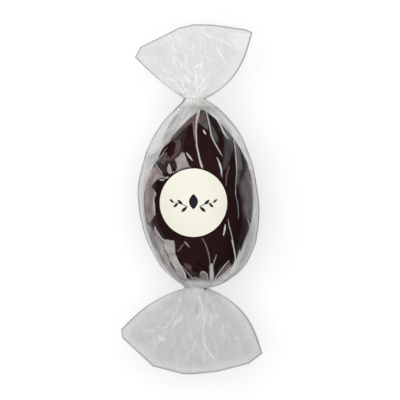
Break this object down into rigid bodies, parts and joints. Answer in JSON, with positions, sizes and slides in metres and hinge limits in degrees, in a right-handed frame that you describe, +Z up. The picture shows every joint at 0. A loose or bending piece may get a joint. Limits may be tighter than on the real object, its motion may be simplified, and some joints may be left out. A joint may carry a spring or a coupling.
{
  "type": "marzipan egg",
  "caption": "Chocolate-coated marzipan egg sealed in clear film, twisted to a pleated fan at each end, with a plain round label on top.",
  "frame": {"origin": "on the surface it rests on, under the middle of the whole sweet's box", "axes": "+Z up, out of the label; +Y along the length, towards the egg's narrow end; +X to the right, seen from above"},
  "size_m": [0.0532, 0.1312, 0.0421],
  "materials": {
    "clear_film": "thin clear glossy film, crinkled and pleated",
    "label_paper": "smooth cream paper",
    "dark_chocolate": "smooth dark chocolate with a soft gloss"
  },
  "bodies": {
    "root": {"wrapper": "clear_film", "label": "label_paper"}
  },
  "joints": []
}
